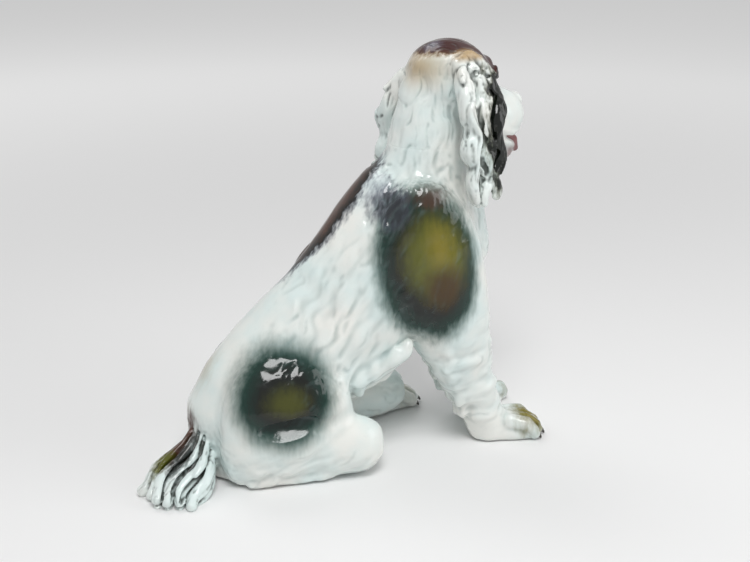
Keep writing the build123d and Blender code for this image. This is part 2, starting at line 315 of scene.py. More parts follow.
def eye_point(side, turn, rise, out=0.0):
    """A point on an eye bead, turned towards its outer corner and raised, in radians."""
    ahead = Vector((side * 0.55, -0.82, 0.10)).normalized()
    across = ahead.cross(Vector((0, 0, 1))).normalized() * -side
    up = (Vector((0, 0, 1)) - ahead * ahead.z).normalized()
    level = ahead * math.cos(turn) + across * math.sin(turn)
    centre = Vector((side * EYE_PLACE[0], *EYE_PLACE[1:]))
    return on_head(*(centre + (level * math.cos(rise) + up * math.sin(rise)) * (EYE + out)))


corners = np.linspace(-1.05, 1.05, 11)
for side in (-1, 1):
    ball("head", eye_point(side, 0, 0.05, -1.2), (4.9, 4.1, 3.9), 1.4, carve=True, axes=head_axes.T)
    ball("head", on_head(side * EYE_PLACE[0], *EYE_PLACE[1:]), EYE, 0.5)
    upper = [eye_point(side, a, 0.80 * math.cos(1.3 * a), -0.1) for a in corners]
    lower = [eye_point(side, a, -0.66 * math.cos(1.3 * a), -0.2) for a in corners]
    roll("head", upper, (0.5, 1.0, 1.1, 1.0, 0.6), 0.8)
    roll("head", lower, (0.5, 0.7, 0.8, 0.7, 0.6), 0.8)
print(len(lumps), "lumps for the eyes")

# %% [markdown]
# ## Muzzle
# The glaze softens a face, so the forms are full and simple: cheeks, hanging upper lips and a broad
# nose. Nostrils, the line under the nose and the furrow of the brow are carved. What comes in pairs
# is written once and mirrored by side.

# %% Cheeks, lips, nose and brow


def face_ball(x, y, z, radii, soft, carve=False):
    """An egg of clay on the head, turned with it."""
    ball("head", on_head(x, y, z), radii, soft, carve, axes=head_axes.T)


def path_on(place, side, *points):
    """A path given in the axes of a place, mirrored where side is -1."""
    return [place(side * x, y, z) for x, y, z in points]


for side in (-1, 1):
    face_ball(side * 15, -11, -13, (8.5, 14, 10), 6)
    face_ball(side * 6.4, -46, -26.5, (6.2, 10, 8.6), 4)
    face_ball(side * 8.6, -36, -27, (5.2, 9, 9.0), 5)
    face_ball(side * 3.1, -61.4, -17.2, (1.5, 2.4, 1.4), 0.7, carve=True)
    wing = path_on(on_head, side, (3.4, -61.6, -17.8), (5.6, -60.4, -18.2), (7.2, -57.6, -17.6))
    roll("head", wing, (0.8, 0.7, 0.5), 0.6, carve=True)
    lip = path_on(on_head, side, (1.5, -56, -32), (6.5, -53, -34.5), (10.6, -44, -35), (11.6, -32, -31))
    roll("head", lip, (1.4, 1.8, 1.8, 1.2), 2.5)
face_ball(0, -51, -25, (9.6, 8.4, 9.8), 4)
face_ball(0, -56.2, -17.6, (7.4, 4.6, 4.6), 1.6)
lip_line = path_on(on_head, 1, (0, -61.4, -20), (0, -59.8, -25), (0, -57, -32))
roll("head", lip_line, (0.6, 0.8, 1.2), 1.2, carve=True)
brow_line = path_on(on_head, 1, (0, -10, 25.2), (0, -22, 16.6), (0, -31, 4))
roll("head", brow_line, (1.0, 1.6, 0.8), 3, carve=True)
print(len(lumps), "lumps on the face")

# %% [markdown]
# ## Mouth
# The mouth hangs open. The chin gets a lip along each side, and the tongue a groove down its
# middle and a tip that curls over the lip.

# %% Chin and tongue
JAW_SLOPE = math.radians(24)


def on_jaw(x, y, z):
    """A point given along the hanging jaw, from its root."""
    cos, sin = math.cos(JAW_SLOPE), math.sin(JAW_SLOPE)
    return on_head(x, -11 + y * cos - z * sin, -29 + y * sin + z * cos)


for side in (-1, 1):
    lip = path_on(on_jaw, side, (7.5, -16, 1.5), (8.0, -28, 2.2), (6.4, -39, 2.0), (0, -44.5, 1.4))
    roll("chin", lip, (1.4, 1.9, 2.2, 2.2), 2.0)
    edge = path_on(on_jaw, side, (3.4, -18, 6.2), (4.2, -30, 6.8), (3.8, -42, 6.2), (1.8, -48, 2.4))
    roll("tongue_leaf", edge, (2, 2.6, 2.8, 2.2), 2)
roll("chin", path_on(on_jaw, 1, (0, -41, -2), (0, -30, -3.5), (0, -16, -4)), (4.6, 5.0, 4.5), 4)
groove = path_on(on_jaw, 1, (0, -18, 9.6), (0, -30, 10), (0, -43, 9.4))
roll("tongue_leaf", groove, (1.0, 1.2, 0.8), 1.2, carve=True)
print(len(lumps), "lumps with the mouth")

# %% [markdown]
# ## Ears of wavy locks
# A spaniel's ear is a flap hidden under long hair. Rolls of clay are laid side by side down the
# flap, all in one slow wave, with a thin crest that twists over each one, and a wire is drawn
# between them to cut the dark grooves. Each roll swells and thins as it goes, and has its own
# length, so the lower edge is ragged as in life. A seeded random generator gives the same locks
# each time.

# %% The way down an ear
EAR_LENGTH = 86.0
EAR_HALF_WIDTH = 13.5
EAR_WAVES = 22.0
dice = np.random.default_rng(7)


def ear_point(side, rise, swing, across, out, t, sway=0.0):
    """A point on an ear: across from its front edge, -1, to its back edge, 1, and t down it."""
    spread = EAR_HALF_WIDTH * (0.72 + 0.62 * t - 0.80 * t * t)
    lift = 10.5 * math.sin(min(1.0, t * 2.6) * math.pi / 2) + out * (0.5 + 0.5 * min(1, 4 * t))
    place = np.array((side * (lift + 0.15 * sway), across * spread + sway, -EAR_LENGTH * t))
    turn = np.array(Matrix.Rotation(-side * swing, 3, "Y"))
    return on_head(*(np.array((side * 20, 4.4, rise)) + turn @ place))


def ear_wave(across, t):
    """How far a lock sways aside at t."""
    slow = math.sin(2.6 * across + EAR_WAVES * t + 0.9 * math.sin(9 * t + across))
    return (2.5 - 0.8 * max(across, 0)) * slow * min(1, 3 * t)


def ear_path(pose, across, out, steps):
    """A swaying path down an ear."""
    return [ear_point(*pose, across, out, t, ear_wave(across, t)) for t in steps]


print("an ear is", EAR_LENGTH, "mm long")

# %% [markdown]
# ## Locks and grooves
# Two layers of three rolls make an ear. Its top edge is a rim with a hollow under it, where the
# flap folds out of the skull. The right ear hangs straight and the left one swings out, because
# the head is tilted.

# %% Long ear locks
for piece, side, rise, swing in (("right_ear_locks", -1, 13.0, 0.0),
                                 ("left_ear_locks", 1, 5.0, math.radians(11))):
    pose = (side, rise, swing)
    ball(piece, on_head(side * 19.5, 3.5, rise - 5), (6.0, 11, 8), 5, axes=head_axes.T)
    for layer, thick in ((2.4, 4.9), (-2.6, 4.4)):
        for across in (-0.86, -0.02, 0.80):
            out = layer * math.sqrt(1.05 - across * across) + dice.uniform(-0.3, 1.2)
            steps = np.linspace(0.02, (0.99 - 0.12 * across * across) * dice.uniform(0.90, 1.0), 36)
            swell = 1 - 0.16 * max(across, 0) + 0.05 * np.sin(26 * steps + dice.uniform(0, 6))
            fat = thick * swell * np.interp(steps, (0, 0.15, 0.6, 1), (0.6, 1, 1, 0.35))
            roll(piece, ear_path(pose, across, out, steps), fat, 0.8)
            twist = 0.24 * np.sin(0.8 * EAR_WAVES * steps + 2 * across)
            crest = [ear_point(*pose, across + aside, out + 4.0, t, ear_wave(across, t))
                     for aside, t in zip(twist, steps)]
            roll(piece, crest[4:30], (0.5, 1.5, 1.7, 1.4, 0.5), 1.2)
    for across in (-0.45, 0.39):
        out = 5.6 * math.sqrt(1.05 - across * across)
        groove = ear_path(pose, across, out, np.linspace(0.12, 0.90, 30))
        roll(piece, groove, (0.8, 1.6, 1.6, 1.1), 0.8, carve=True)
    rim = [ear_point(*pose, a, 6.5, 0.10 * a * a - 0.02) for a in np.linspace(-1.2, 1.2, 13)]
    roll(piece, rim, (1.6, 2.4, 2.6, 2.4, 1.6), 1.5)
    hollow = [ear_point(*pose, a, 7.5, 0.09 + 0.07 * a * a) for a in np.linspace(-0.7, 0.6, 9)]
    roll(piece, hollow, (0.8, 2.2, 1.2, 2.2, 0.8), 1.0, carve=True)
print(len(lumps), "lumps with the ears")

# %% [markdown]
# ## Front paws
# Four toes side by side, each a short roll that bends down to the ground, and a nail on each. The
# grooves between toes are carved a little deeper, so that glaze pools there and paints shade into them.

# %% Toes and nails of the front paws
nails = []


def paw_toes(piece, heel, turn, length, width, height):
    """Presses toes and nails onto a paw that points along -Y from its heel, turned about Z."""
    spin = np.array(Matrix.Rotation(turn, 3, "Z"))
    for index, across in enumerate((-0.72, -0.25, 0.25, 0.72)):
        ahead = length * (1.0 if index in (1, 2) else 0.9)
        points = [(across * 0.36 * width, -0.42 * length, 0.72 * height),
                  (across * 0.50 * width, -0.68 * length, 0.66 * height),
                  (across * 0.52 * width, ahead * -0.90, 0.40 * height),
                  (across * 0.52 * width, ahead * -0.95, 0.24 * height)]
        path = [heel + spin @ np.array(point) for point in points]
        roll(piece, path, (0.20 * width, 0.185 * width, 0.17 * width, 0.14 * width), 1.1)
        root = heel + spin @ np.array((across * 0.53 * width, -ahead * 1.02, 0.26 * height))
        tip = heel + spin @ np.array((across * 0.54 * width, -ahead * 1.085, 0.07 * height))
        roll(piece, [root, (root + tip) / 2 + (0, 0, 0.5), tip], (1.4, 1.2, 0.8), 0.7)
        nails.append((root + 2 * tip) / 3)
    for across in (-0.5, 0.0, 0.5):
        groove = [(across * 0.40 * width, -0.46 * length, 1.12 * height),
                  (across * 0.52 * width, -0.80 * length, 0.74 * height),
                  (across * 0.54 * width, -1.04 * length, 0.20 * height)]
        roll(piece, [heel + spin @ np.array(point) for point in groove], (0.5, 1.0, 0.9), 1.0, carve=True)


paw_toes("right_front_leg", at(-15.5, -90, 0), math.radians(-10), 34, 25, 17)
paw_toes("left_front_leg", at(15, -94, 0), math.radians(44), 34, 25, 17)
print(len(lumps), "lumps with the front paws")

# %% [markdown]
# ## Feathering on the front legs
# Spaniels carry a fringe down the back of each front leg. Here it is a row of short tufts that
# step down from the elbow, longer at the top, each lying over the next.

# %% Fringe of the front legs


def tufts(piece, start, end, count, lean, length, thick, spread):
    """A row of pointed tufts from start to end, each leaning along one direction."""
    lean = np.asarray(lean, float) / np.linalg.norm(lean)
    for t in np.linspace(0, 1, count):
        root = np.asarray(start) * (1 - t) + np.asarray(end) * t + dice.normal(0, spread, 3)
        reach = length * (1.1 - 0.35 * t) * dice.uniform(0.8, 1.2)
        curl = dice.normal(0, 0.16, 3)
        path = [root + lean * reach * s + curl * reach * s * s for s in np.linspace(-0.3, 1, 5)]
        roll(piece, path, (0.8 * thick, 1.1 * thick, 1.1 * thick, 0.8 * thick), 3.0)


for piece, side, foot in (("right_front_leg", -1, 0.0), ("left_front_leg", 1, -3.0)):
    for inner, outer, thick in ((26, 19, 3.8), (19, 15, 3.4), (31, 23, 3.0)):
        top = at(side * inner, -53 - 0.4 * abs(inner - 22), 74)
        tufts(piece, top, at(side * outer, -71 + foot, 26), 6, (0, 0.25, -1), 6, thick, 0.6)
print(len(lumps), "lumps with the fringe")

# %% [markdown]
# ## Hind feet and the fold of the haunch
# The left hind foot shows past the belly, the right one is tucked under the folded leg. Thigh and
# shank part in a deep fold. A flat egg is carved there, tilted so that the shank gets a smooth
# ledge that faces up and outwards, which catches the light in the glaze.

# %% Hind toes and the fold
LEDGE_TILT = math.radians(45)
LEDGE_TURN = math.radians(10)
paw_toes("left_haunch", at(40, -24, 0), math.radians(8), 40, 24, 16)
paw_toes("right_haunch", at(-20, 30, 0), 0.0, 40, 24, 16)
for piece, side in (("right_haunch", -1), ("left_haunch", 1)):
    up = Vector((0, 0, 1))
    outwards = Vector((side * math.cos(LEDGE_TURN), math.sin(LEDGE_TURN), 0))
    facing = outwards * math.cos(LEDGE_TILT) + up * math.sin(LEDGE_TILT)
    down_slope = outwards * math.sin(LEDGE_TILT) - up * math.cos(LEDGE_TILT)
    ledge_axes = (down_slope, facing.cross(down_slope), facing)
    ball(piece, at(side * 46.2, 41, 39), (11, 20, 4.6), 1.6, carve=True, axes=ledge_axes)
    fold = [at(side * 46, 26, 38), at(side * 44, 12, 40), at(side * 38, 2, 42)]
    roll(piece, fold, (2.5, 3.0, 2.5), 4, carve=True)
    for low, high in ((34, 58), (20, 40)):
        start, end = at(side * 37, low, 5), at(side * 33, high, 5)
        tufts(piece, start, end, 4, (side * 0.2, 0.9, -0.1), 8, 3.0, 0.8)
print(len(lumps), "lumps with the hind legs")

# %% [markdown]
# ## Tail fan
# The tail lies on the ground as a fan of lobed locks. Each lock starts thin under the rump, sways,
# widens and ends in a round lobe. Grooves are cut deep between them, as on the ears.

# %% Tail locks
TAIL_SWEEP = math.radians(44)
tail_turn = np.array(Matrix.Rotation(TAIL_SWEEP, 3, "Z"))
tail_root = at(0, 77.6, 36)
LOCKS = 6


def on_tail(across, along, up):
    """A point given from the tail's root, along the fan."""
    return tail_root + tail_turn @ np.array((across, along, up))


def tail_path(fan, length, lift, start=0.12, end=1.0):
    """A swaying path down the tail. fan runs from one edge, -1, to the other, 1."""
    path = []
    for t in np.linspace(start, end, 16):
        across = fan * (6.5 + 13 * t ** 1.2) + 3.2 * math.sin(10 * t + 1.5 * fan) * t
        height = -31.5 * t ** 0.9 - 6 * fan * fan * (1 - 0.6 * t)
        path.append(on_tail(across, length * t, height + lift))
    return path


for number, fan in enumerate(np.linspace(-1, 1, LOCKS)):
    length = 52 - 5.5 * fan * fan + dice.uniform(-2, 2)
    lift = 0.8 * (number % 2) + dice.uniform(-0.4, 0.4)
    roll("tail_fan", tail_path(fan, length, lift), (2.6, 3.0, 3.4, 3.7, 3.9, 3.2), 0.8)
    roll("tail_fan", tail_path(fan, length, lift - 6), (3.0, 3.2, 3.4, 3.4, 3.2, 2.6), 1.2)
for fan in np.linspace(-1, 1, LOCKS)[:-1] + 1 / (LOCKS - 1):
    roll("tail_fan", tail_path(fan, 51, 2.0, 0.25, 1.05), (0.8, 1.6, 1.9, 1.7), 0.8, carve=True)
for fan in (-0.75, -0.3, 0.15, 0.6):
    short = tail_path(fan, 50, 3.6, 0.15, 0.62 + 0.14 * dice.uniform())
    roll("tail_fan", short, (2.0, 2.4, 2.6, 2.4, 1.6), 0.8)
for fan in (-0.55, -0.1, 0.4):
    roll("tail_fan", tail_path(fan, 50, 5.2, 0.25, 0.72), (0.6, 1.2, 1.3, 0.8), 0.7, carve=True)
print(len(lumps), "lumps with the tail")

# %% [markdown]
# ## Ruff and belly
# Long wavy locks fall from the throat over the chest in two rows, and shorter tufts hang from the
# belly. Last, the kiln vent is carved into the seat, where the plug had shut it.

# %% Chest ruff and belly tufts
for across in np.linspace(-17, 17, 9):
    for top, foot, out in ((172, 132, 0.0), (142, 100, 1.0)):
        wave, phase = dice.uniform(1.2, 2.4), dice.uniform(0, 6)
        path = []
        for t in np.linspace(0, 1, 9):
            height = top + (foot - top) * t + dice.uniform(-0.5, 0.5)
            front = np.interp(height, (95, 110, 130, 150, 165, 180), (-80, -86, -88.5, -86, -79, -73))
            hang = front + 0.020 * across * across + 1.0 + 3.5 * t ** 4
            path.append(at(across * (0.8 + 0.2 * t) + wave * math.sin(phase + 6 * t), hang - out, height))
        roll("body", path, (1.8, 3.0, 3.2, 2.6, 1.3), 2.2)
for side in (-1, 1):
    for across, top, foot in ((26, 72, 58), (19, 66, 51), (12, 61, 46)):
        start, end = at(side * across, -32, top), at(side * across, -6, foot)
        tufts("body", start, end, 5, (0, 0.5, -0.8), 7, 3.6, 1.0)
roll("body", [at(0, seat_y, -3), at(0, seat_y, 9)], (VENT_RADIUS, VENT_RADIUS), 0.8, carve=True)
print(len(lumps), "lumps in all")

# %% [markdown]
# ## Cutting each piece from the clay
# Every piece gets its own fine grid. The sponged armature is read into it, each lump near it is
# pressed on or carved, and the territory decides how far the piece reaches under its neighbours.
# The surface dips under the neighbour along a parabola, so the two skins meet without a step.

# %% Reading the rough field


def read_rough(field, axes):
    """The rough field read on a finer grid, evenly between its points."""
    for axis, places in enumerate(axes):
        share = (places - low_corner[axis]) / ROUGH_STEP
        cell = np.clip(share.astype(int), 0, field.shape[axis] - 2)
        weight = (share - cell).astype(np.float32)
        weight = weight.reshape([-1 if k == axis else 1 for k in range(3)])
        field = np.take(field, cell, axis) * (1 - weight) + np.take(field, cell + 1, axis) * weight
    return field


print("rough fields can be read on finer grids")

# %% [markdown]
# ## One piece at a time
# mine and others are the distances to this piece's clay and to all other clay. Half their difference
# tells how far a point lies beyond the seam.

# %% Press, carve and divide
DIP = 0.35
UNDERLAP = 4.0


def piece_field(name):
    """The distances that shape one piece, and the places of its grid along each axis."""
    boxes = [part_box(node) for node in PIECES[name]]
    low = np.min([np.array(box[0]) for box in boxes], axis=0) / MM
    high = np.max([np.array(box[1]) for box in boxes], axis=0) / MM
    for lump in lumps:
        if lump["piece"] == name and not lump["carve"]:
            low = np.minimum(low, lump["low"])
            high = np.maximum(high, lump["high"])
    low, high = np.maximum(low - 7, low_corner), np.minimum(high + 7, high_corner - 1)
    axes = [np.arange(a, b, STEP[name]) for a, b in zip(low, high)]
    clay = read_rough(sponged_dog, axes)
    mine = read_rough(casting_field[name], axes)
    others = np.full(clay.shape, REACH, np.float32)
    for other, nodes in PIECES.items():
        lows, highs = zip(*[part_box(node) for node in nodes])
        apart = np.max(np.array(lows).min(0) / MM - high), np.max(low - np.array(highs).max(0) / MM)
        if other != name and max(apart) < REACH:
            others = np.minimum(others, read_rough(casting_field[other], axes))
    for lump in lumps:
        spans = spans_of(axes, lump["low"], lump["high"])
        if any(span.start >= span.stop for span in spans):
            continue
        near = [axis[span] for axis, span in zip(axes, spans)]
        distance = lump_distance(lump, near).astype(np.float32)
        if lump["carve"]:
            clay[spans] = -melt(-clay[spans], distance, lump["soft"])
        else:
            clay[spans] = melt(clay[spans], distance, lump["soft"])
            whose = mine if lump["piece"] == name else others
            whose[spans] = np.minimum(whose[spans], distance)
    foreign = (mine - others) / 2
    clay = clay + DIP * np.clip(foreign, 0, None) ** 2
    clay = np.maximum(clay, foreign - UNDERLAP)
    return np.maximum(clay, -axes[2].astype(np.float32)[None, None, :]), axes


print("ready to cut", len(PIECES), "pieces")

# %% [markdown]
# ## Surface points and their facing
# The zero surface becomes quads. Each corner's facing is the mean of the faces around it, worked
# out for the whole mesh at once. In the same way values are spread from corner to corner.

# %% From field to quads


def skin_of(field, axes, step):
    """The surface of a field as corners in millimetres and quads that face outwards."""
    grid = vdb.FloatGrid(3.0)
    grid.copyFromArray(np.ascontiguousarray(field / step, np.float32))
    grid.gridClass = vdb.GridClass.LEVEL_SET
    corners, quads = grid.convertToQuads()
    start = np.array([axis[0] for axis in axes])
    return corners * step + start, quads[:, ::-1].astype(np.int64)


def gathered(face_values, quads, count):
    """The sum, at each corner, of the values of the faces around it."""
    total = np.zeros((count, face_values.shape[1]))
    for column in range(4):
        for axis in range(face_values.shape[1]):
            total[:, axis] += np.bincount(quads[:, column], face_values[:, axis], count)
    return total


def facings(corners, quads):
    """A unit normal for each corner."""
    a, b, c, d = (corners[quads[:, column]] for column in range(4))
    normal = gathered(np.cross(c - a, d - b), quads, len(corners))
    return normal / np.maximum(np.linalg.norm(normal, axis=1, keepdims=True), 1e-9)


def spread(values, quads, rounds):
    """The values averaged with their neighbours' several times."""
    count = len(values)
    uses = np.maximum(np.bincount(quads.ravel(), minlength=count), 1)[:, None]
    for _ in range(rounds):
        face_mean = values[quads].mean(axis=1).reshape(len(quads), -1)
        values = (gathered(face_mean, quads, count) / uses).reshape(values.shape)
    return values


print("surface tools ready")

# %% [markdown]
# ## Carved fur
# The modeller scratches fur into the leather-hard clay: short commas on the neck, soft tufts on the
# flank, level waves on the legs. Each kind is noise that is stretched along the way the hair lies.
# Where the noise crosses zero a groove is cut, and the noise itself lifts soft tufts. Each kind
# has a place on the dog and fades out around it.

# %% Noise


def noise(points, seed):
    """Smooth random values between -1 and 1, the same for the same seed."""
    cell = np.floor(points)
    share = points - cell
    share = share * share * share * (share * (share * 6 - 15) + 10)
    total = 0
    for x in (0, 1):
        for y in (0, 1):
            for z in (0, 1):
                corner = cell + (x, y, z)
                value = np.sin(corner @ (127.1, 311.7, 74.7) + 17.31 * seed) * 43758.5453
                weight = 1
                for axis, step in enumerate((x, y, z)):
                    weight = weight * (share[:, axis] if step else 1 - share[:, axis])
                total = total + weight * (value - np.floor(value))
    return 2 * total - 1


print("three values of the noise:", noise(np.eye(3) / 3, 1).round(2))

# %% [markdown]
# ## Kinds of fur
# Each row of the table is one kind of fur at one place. The noise is drawn out along the lie of the
# hair and bent by a slower noise, so that no two locks are alike.

# %% Fur
# place, reach, lie of the hair, length and width of a lock, lift of tufts, depth and plenty of cuts
FUR = [((0, -42, 196), (44, 36, 38), (0, 0.35, -1), 13, 7.0, 0.90, 0.90, -0.05)]
for side in (-1, 1):
    FUR += [
        ((side * 36, -38, 132), (26, 38, 42), (0, 0.30, -1), 17, 5.0, 0.25, 0.30, 0.00),
        ((side * 34, -19, 160), (20, 16, 20), (0, 0.50, -0.8), 11, 4.4, 1.90, 1.00, 0.50),
        ((side * 30, 2, 94), (30, 46, 46), (0, 0.50, -0.9), 15, 7.0, 1.50, 0.70, 0.05),
        ((side * 20, -78, 48), (26, 36, 42), (0, 1, -0.35), 15, 7.0, 1.45, 0.30, 0.10),
        ((side * 38, 30, 4), (30, 60, 20), (0, 0.9, -0.45), 15, 7.0, 1.25, 0.40, 0.10),
        ((side * 42, 40, 62), (24, 36, 28), (0, 0.6, -0.8), 14, 5.0, 0.10, 0.12, -0.20),
        ((side * 29, -66, 196), (20, 30, 48), (0, 0, -1), 16, 3.0, 0.50, 0.55, 0.30),
    ]
FUR += [
    ((38, -26, 22), (26, 36, 26), (0, -1, -0.4), 14, 7.0, 1.00, 0.40, 0.10),
    ((0, -86, 135), (30, 24, 50), (0, 0, -1), 16, 5.0, 0.60, 0.50, 0.40),
    ((-20, 104, 14), (34, 34, 30), (-0.7, 0.72, -0.4), 14, 2.8, 0.40, 0.45, 0.30),
    ((0, 30, 130), (22, 60, 60), (0, 0.6, -0.8), 20, 9.0, 0.25, 0.25, -0.20),
    ((0, -56, 240), (26, 24, 18), (0.2, 1, -0.3), 13, 5.0, 0.35, 0.40, 0.20),
]


def relief(points):
    """How far the fur lifts or cuts each point, and how deep the point lies in a groove."""
    lift = 0.10 * noise(points / 9.0, 3)
    groove_depth = np.zeros(len(points))
    drift = np.stack([noise(points / 11.0, 11 + axis) for axis in range(3)], 1)
    for number, (place, reach, lie, length, width, tuft, groove, plenty) in enumerate(FUR):
        offset = points - at(*place)
        weight = np.clip(1.25 - np.linalg.norm(offset / reach, axis=1), 0, 0.5) * 2
        here = np.nonzero(weight)[0]
        if not len(here):
            continue
        lie = np.asarray(lie, float) / np.linalg.norm(lie)
        bent = offset[here] + 2.6 * drift[here]
        along = bent @ lie
        across = bent - along[:, None] * lie
        hair = noise(across / width + along[:, None] * lie / length, 20 + number)
        fine = noise(2.1 * across / width + 1.4 * along[:, None] * lie / length, 40 + number)
        cut = np.exp(-(hair / 0.16) ** 2) * np.clip(plenty + 1.6 * fine, 0, 1)
        lift[here] += weight[here] * (tuft * (hair + 0.35 * fine) - groove * cut)
        groove_depth[here] = np.maximum(groove_depth[here], weight[here] * cut)
    return lift, groove_depth


print(len(FUR), "kinds of fur")

# %% [markdown]
# ## The finished skins
# Each piece is cut, skinned, scratched and turned into a mesh in metres. The depth of the grooves
# and hollows is kept on the mesh as an attribute, because coloured glaze runs into them and the
# glaze is darkened there as painted shade. It is measured by comparing each corner with the mean
# of its neighbours.

# %% Make the pieces

# how deep a hollow must be to take the full glaze pool and painted shade: less on ears and tail
FULL_POOL_AND_SHADE = 0.45
LOCK_POOL_AND_SHADE = 0.22
LOCKED = ("right_ear_locks", "left_ear_locks", "tail_fan")


def make_skin(name):
    """A mesh object for one piece, with its attribute of glaze pools and painted shade."""
    field, axes = piece_field(name)
    corners, quads = skin_of(field, axes, STEP[name])
    corners = 0.5 * corners + 0.5 * spread(corners, quads, 1)
    normal = facings(corners, quads)
    lift, grooves = relief(corners)
    off_ground = np.clip(corners[:, 2] / 3.0, 0, 1)
    corners = corners + normal * (lift * off_ground)[:, None]
    corners[:, 2] = np.maximum(corners[:, 2], 0)
    below = spread(corners, quads, 6) - corners
    sunk = np.einsum("ij,ij->i", below, facings(corners, quads))
    # painted shade: grooves and sunk corners get a darker glaze, partly the glaze pooling there
    pool_and_shade = np.clip(0.35 * grooves + sunk / (LOCK_POOL_AND_SHADE if name in LOCKED else FULL_POOL_AND_SHADE), 0, 1)
    pool_and_shade = spread(pool_and_shade, quads, 1)
    mesh = bpy.data.meshes.new(name)
    mesh.from_pydata((corners * MM).tolist(), [], quads.tolist())
    mesh.polygons.foreach_set("use_smooth", np.ones(len(quads), bool))
    mesh.attributes.new("pool_and_shade", "FLOAT", "POINT").data.foreach_set("value", pool_and_shade.astype(np.float32))
    piece = bpy.data.objects.new(name, mesh)
    bpy.context.scene.collection.objects.link(piece)
    return piece


skins = {}
for name, nodes in PIECES.items():
    skins[name] = make_skin(name)
    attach(skins[name], "root")
    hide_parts(*nodes)
    print(name, len(skins[name].data.polygons), "quads")

# %% [markdown]
# ## Nodes in few words
# Materials are built from nodes. This helper adds a node, sets its options and fills its inputs:
# a number or colour is typed in, and a socket is wired. Colours are written as the eye sees them
# on a screen, from 0 to 255, and turned into the linear values that shaders use.

# %% A helper for nodes and colours


def colour(red, green, blue):
    """A screen colour as linear red, green, blue and alpha."""
    parts = [part / 255 for part in (red, green, blue)]
    return tuple(p / 12.92 if p <= 0.04045 else ((p + 0.055) / 1.055) ** 2.4 for p in parts) + (1.0,)


def add(tree, kind, inputs=(), **options):
    """A new node. Its options are set first. Inputs pair a socket's name or number with a value."""
    made = tree.nodes.new("ShaderNode" + kind)
    for option, value in options.items():
        setattr(made, option, value)
    for socket, value in dict(inputs).items():
        if isinstance(value, bpy.types.NodeSocket):
            tree.links.new(value, made.inputs[socket])
        else:
            made.inputs[socket].default_value = value
    return made


def math_node(tree, operation, *values):
    """The result of a sum done by a Math node."""
    return add(tree, "Math", enumerate(values), operation=operation).outputs[0]


def blend(tree, share, under, over):
    """One colour laid over another."""
    return add(tree, "Mix", {0: share, 6: under, 7: over}, data_type="RGBA").outputs[2]


def cloudy(tree, place, scale, detail):
    """Soft noise between 0 and 1."""
    return add(tree, "TexNoise", {"Vector": place, "Scale": scale, "Detail": detail}).outputs[0]


def new_group(name, inputs, outputs):
    """An empty node group with named sockets, its tree, and its input and output nodes."""
    tree = bpy.data.node_groups.new(name, "ShaderNodeTree")
    for title, kind in inputs:
        tree.interface.new_socket(title, in_out="INPUT", socket_type="NodeSocket" + kind)
    for title, kind in outputs:
        tree.interface.new_socket(title, in_out="OUTPUT", socket_type="NodeSocket" + kind)
    return tree, tree.nodes.new("NodeGroupInput").outputs, tree.nodes.new("NodeGroupOutput").inputs


print("node helpers ready")

# %% [markdown]
# ## A sprayed patch
# The decorator sprays colour onto the biscuit and strokes its edge into the fur with a brush. So a
# patch is an egg-shaped cloud: the group gives the distance from its middle, 1 at the rim, made
# ragged by noise that is stretched the way the hair lies. A colour ramp then turns distance into
# the rings of colour that the glaze shows.

# %% The patch group
patch_tree, given, result = new_group(
    "sprayed_patch",
    [(title, "Vector") for title in ("Place", "Middle", "Reach", "Turn")] + [("Ragged", "Float")],
    [("Distance", "Float")],
)
offset = add(patch_tree, "VectorMath", {0: given["Place"], 1: given["Middle"]},
             operation="SUBTRACT").outputs[0]
turned = add(patch_tree, "VectorRotate", {"Vector": offset, "Rotation": given["Turn"]},
             rotation_type="EULER_XYZ", invert=True).outputs[0]
shares = add(patch_tree, "VectorMath", {0: turned, 1: given["Reach"]}, operation="DIVIDE").outputs[0]
distance = add(patch_tree, "VectorMath", {0: shares}, operation="LENGTH").outputs["Value"]
strokes = add(patch_tree, "Mapping", {"Vector": given["Place"], "Scale": (0.45, 0.38, 0.10)}).outputs[0]
both = math_node(patch_tree, "ADD", cloudy(patch_tree, strokes, 1.0, 4.0),
                 cloudy(patch_tree, given["Place"], 0.07, 2.0))
swing = math_node(patch_tree, "MULTIPLY", math_node(patch_tree, "SUBTRACT", both, 1.0), given["Ragged"])
patch_tree.links.new(math_node(patch_tree, "ADD", distance, swing), result["Distance"])
print("patch group", len(patch_tree.nodes), "nodes")

# %% [markdown]
# ## The white glaze, its pools and painted shade
# Glazed porcelain isn't flat white. The glaze is faintly blue-green where it is thick, and it runs
# off high fur into the grooves. The group mixes a warm and a cool white by a slow cloud, and lays a
# darker grey-teal tint wherever the attribute says that the surface is sunk: partly pooled glaze,
# partly painted shade in the grooves and hollows.

# %% The white glaze group
white_tree, given, result = new_group(
    "white_glaze", [("Place", "Vector"), ("Pool_and_shade", "Float"), ("Depth", "Float")], [("Color", "Color")]
)
cloud = cloudy(white_tree, given["Place"], 0.028, 3.0)
cool = add(white_tree, "MapRange", {0: cloud, 1: 0.38, 2: 0.62}).outputs[0]
ground = blend(white_tree, cool, colour(236, 237, 232), colour(220, 233, 231))
specks = cloudy(white_tree, given["Place"], 0.55, 3.0)
speckled = add(white_tree, "MapRange", {0: specks, 1: 0.60, 2: 0.78, 3: 0.0, 4: 0.16}).outputs[0]
ground = blend(white_tree, speckled, ground, colour(196, 208, 204))
# painted shade: a grey-teal tint laid into sunk places, partly the glaze lying thick there
sunk = math_node(white_tree, "MULTIPLY", given["Pool_and_shade"], given["Depth"])
white_tree.links.new(blend(white_tree, sunk, ground, colour(118, 142, 138)), result["Color"])
print("white group", len(white_tree.nodes), "nodes")
